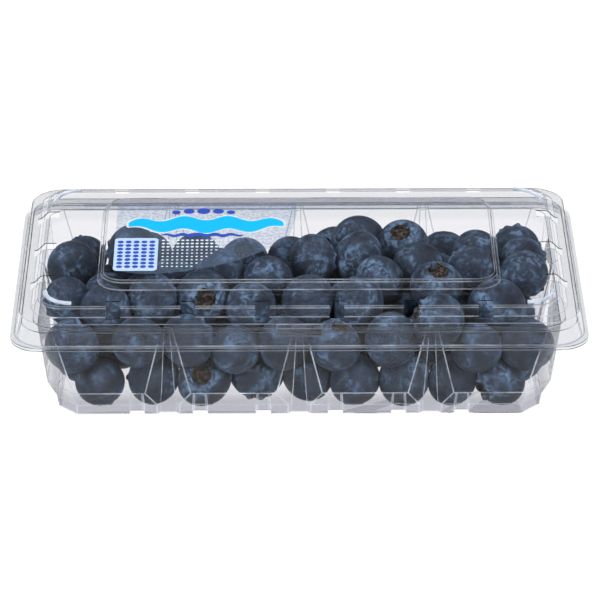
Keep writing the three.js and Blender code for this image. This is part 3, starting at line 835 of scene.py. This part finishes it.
def makeFilm():
    points = [(label["left"], label["back"]), (label["left"], label["sideEnd"])]
    for part in ("corner", "sweep", "bulge"):
        points += curvePoints(points[-1], label[part], label[part + "Parts"])
    points.append((label["right"], label["back"]))
    film = flatPiece("label_film", [points], label["filmZ"], label["film"], filmMaterial())
    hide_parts("label")


def roundedBar(middleX, middleY, width, height, corner):
    points = []
    for sideX, sideY, start in ((1, 1, 0), (-1, 1, 90), (-1, -1, 180), (1, -1, 270)):
        for k in range(prints["cornerParts"] + 1):
            turn = math.radians(start + 90 / prints["cornerParts"] * k)
            points.append((middleX + sideX * (width / 2 - corner) + corner * math.cos(turn),
                           middleY + sideY * (height / 2 - corner) + corner * math.sin(turn)))
    return points


def dot(x, y, size):
    points = []
    for k in range(prints["dotSides"]):
        turn = k * math.tau / prints["dotSides"]
        points.append((x + size / 2 * math.cos(turn), y + size / 2 * math.sin(turn)))
    return points


def wave(look, edge=0.0):  # a ribbon that swings up and down and narrows to its ends
    upper, lower = [], []
    for i in range(look["parts"] + 1):
        share = i / look["parts"]
        x = look["left"] - edge + (look["right"] - look["left"] + 2 * edge) * share
        middle = look["middle"] + look["swing"] * math.sin(math.tau * look["waves"] * share)
        swell = math.sin(math.pi * share) ** 0.5
        half = edge + look["half"] * (prints["waveEnds"] + (1 - prints["waveEnds"]) * swell)
        upper.append((x, middle + half))
        lower.append((x, middle - half))
    return upper + lower[::-1]


# A sky-blue wave with a white edge and blue beads over it, a thin wave below, a triangle of white dots,
# and a pale field with rows of blue dots. A bead is its middle and size, and the field is its middle,
# width, height and corner.
prints = {
    "wave": {"left": -57.5, "right": -5, "middle": 9.2, "half": 5.0,
             "swing": 1.7, "waves": 3.5, "parts": 84},
    "waveEdge": 0.7, "waveEnds": 0.25,
    "thread": {"left": -46, "right": -18.6, "middle": 1.0, "half": 1.3,
               "swing": 0.6, "waves": 5, "parts": 80},
    "beads": ((-41.5, 18.6, 3), (-37.2, 19.4, 3.8), (-32.2, 19.6, 4.6), (-27.2, 19.4, 3.8), (-22.9, 18.6, 3)),
    "rows": 9, "rowLeft": -45.4, "rowTop": -2.9, "rowPitch": 2.45, "firstRow": 15,
    "dotPitch": 1.62, "bigDot": 1.15, "smallDot": 0.8, "bigRows": 3, "dotSides": 16,
    "field": (-54.4, -13.4, 14.6, 24.6, 1.6), "cornerParts": 6,
    "gridColumns": 5, "gridRows": 8, "gridPitch": 2.65, "gridDot": 2.0,
}


def makePrints():
    low = label["filmZ"] + label["film"] + label["lift"]
    high = low + label["ink"] + label["lift"]
    white, sky = inkMaterial("WhiteInk", "white"), inkMaterial("SkyBlueInk", "sky")
    royal, pale = inkMaterial("RoyalBlueInk", "royal"), inkMaterial("PaleBlueInk", "pale")
    flatPiece("print_wave_edge", [wave(prints["wave"], prints["waveEdge"])], low, label["ink"], white)
    flatPiece("print_wave", [wave(prints["wave"])], high, label["ink"], sky)
    beads = [dot(*bead) for bead in prints["beads"]]
    flatPiece("print_beads", beads + [wave(prints["thread"])], high, label["ink"], royal)
    dots = []
    for k in range(prints["rows"]):  # each row has one dot fewer than the row above it
        size = prints["bigDot"] if k < prints["bigRows"] else prints["smallDot"]
        y = prints["rowTop"] - prints["rowPitch"] * k
        for i in range(prints["firstRow"] - k):
            dots.append(dot(prints["rowLeft"] + prints["dotPitch"] * i, y, size))
    flatPiece("print_dots", dots, low, label["ink"], white)
    flatPiece("print_field", [roundedBar(*prints["field"])], low, label["ink"], pale)
    grid = []
    middleX, middleY = prints["field"][:2]
    for column in range(prints["gridColumns"]):
        for row in range(prints["gridRows"]):
            x = middleX + (column - (prints["gridColumns"] - 1) / 2) * prints["gridPitch"]
            y = middleY + (row - (prints["gridRows"] - 1) / 2) * prints["gridPitch"]
            grid.append(dot(x, y, prints["gridDot"]))
    flatPiece("print_grid", grid, high, label["ink"], royal)


makeFilm()
makePrints()
print("label made")


# A pale table that glows like a light box, soft lamps above, and the camera. The lens's focal length is
# given in pixels of a picture of this width. skySpread turns the side that a ray goes to into brightness.
studio = {
    "floorSize": 6.0, "floor": "#3C3C3C", "floorRoughness": 0.9, "glow": 0.98, "white": "#FFFFFF",
    "skySide": (0, -0.75, 0.9), "skySpread": (-0.2, 0.9, 0.06, 1.1), "lampAim": (0, 0, 0.02),
    "elevation": 27, "turn": 0.42, "distance": 1.333, "target": (0.0005, 0.0006, 0.0218),
    "focal": 3921, "width": 600, "sensor": 36, "farEnd": 20,
}
# each lamp's place, size and power
lamps = {
    "overhead_softbox": ((0.0, -0.1, 1.1), (0.9, 0.5), 23),
    "left_strip": ((-0.8, -0.75, 0.45), (0.06, 0.7), 20),
    "right_strip": ((0.8, -0.75, 0.45), (0.06, 0.7), 20),
}


def makeFloor():
    bm = bmesh.new()
    bmesh.ops.create_grid(bm, x_segments=1, y_segments=1, size=studio["floorSize"] / 2)
    floor = newObject("light_table", bm)
    material, tree = newMaterial("OpalAcrylicLightTable")
    shader = addNode(tree, "ShaderNodeBsdfPrincipled",
                     inputs={"Base Color": linearColour(studio["floor"]),
                             "Roughness": studio["floorRoughness"], "Specular IOR Level": 0.0,
                             "Emission Color": linearColour(studio["white"]),
                             "Emission Strength": studio["glow"]})
    addNode(tree, "ShaderNodeOutputMaterial", links={"Surface": shader.outputs[0]})
    floor.data.materials.append(material)


def makeSky():  # bright overhead and in front, dim low down behind the pack
    world = bpy.data.worlds.new("studio_sky")
    world.use_nodes = True
    tree = world.node_tree
    tree.nodes.clear()
    place = addNode(tree, "ShaderNodeTexCoord")
    side = addNode(tree, "ShaderNodeVectorMath", {"operation": "DOT_PRODUCT"}, {1: studio["skySide"]},
                   {0: place.outputs["Object"]})
    level = mapRange(tree, side.outputs["Value"], *studio["skySpread"])
    background = addNode(tree, "ShaderNodeBackground", inputs={"Color": linearColour(studio["white"])},
                         links={"Strength": level})
    addNode(tree, "ShaderNodeOutputWorld", links={"Surface": background.outputs[0]})
    bpy.context.scene.world = world


def addSoftbox(name, place, size, power):
    data = bpy.data.lights.new(name, "AREA")
    data.shape = "RECTANGLE"
    data.size, data.size_y = size
    data.energy = power
    lamp = bpy.data.objects.new(name, data)
    lamp.location = place
    lamp.rotation_euler = (Vector(studio["lampAim"]) - Vector(place)).to_track_quat("-Z", "Y").to_euler()
    lamp.visible_glossy = False  # the sheet mirrors and bends only the even light round it
    lamp.visible_transmission = False
    bpy.context.scene.collection.objects.link(lamp)


def makeCamera():
    data = bpy.data.cameras.new("camera")
    data.sensor_width = studio["sensor"]
    data.lens = studio["focal"] / studio["width"] * data.sensor_width
    data.clip_end = studio["farEnd"]
    camera = bpy.data.objects.new("camera", data)
    turn, rise = math.radians(studio["turn"]), math.radians(studio["elevation"])
    away = Vector((-math.sin(turn) * math.cos(rise), -math.cos(turn) * math.cos(rise), math.sin(rise)))
    camera.location = Vector(studio["target"]) + away * studio["distance"]
    camera.rotation_euler = (-away).to_track_quat("-Z", "Y").to_euler()
    bpy.context.scene.collection.objects.link(camera)
    bpy.context.scene.camera = camera


def setRender():  # enough bounces for the light that crosses many sheets
    scene = bpy.context.scene
    scene.view_settings.view_transform = "Standard"
    scene.cycles.use_denoising = True
    scene.cycles.max_bounces = 20
    scene.cycles.transmission_bounces = 20
    scene.cycles.transparent_max_bounces = 24
    scene.cycles.glossy_bounces = 4
    scene.cycles.diffuse_bounces = 2
    scene.cycles.caustics_reflective = False
    scene.cycles.caustics_refractive = False


makeFloor()
makeSky()
for lampName, (lampPlace, lampSize, lampPower) in lamps.items():
    addSoftbox(lampName, lampPlace, lampSize, lampPower)
makeCamera()
setRender()
print("studio ready")
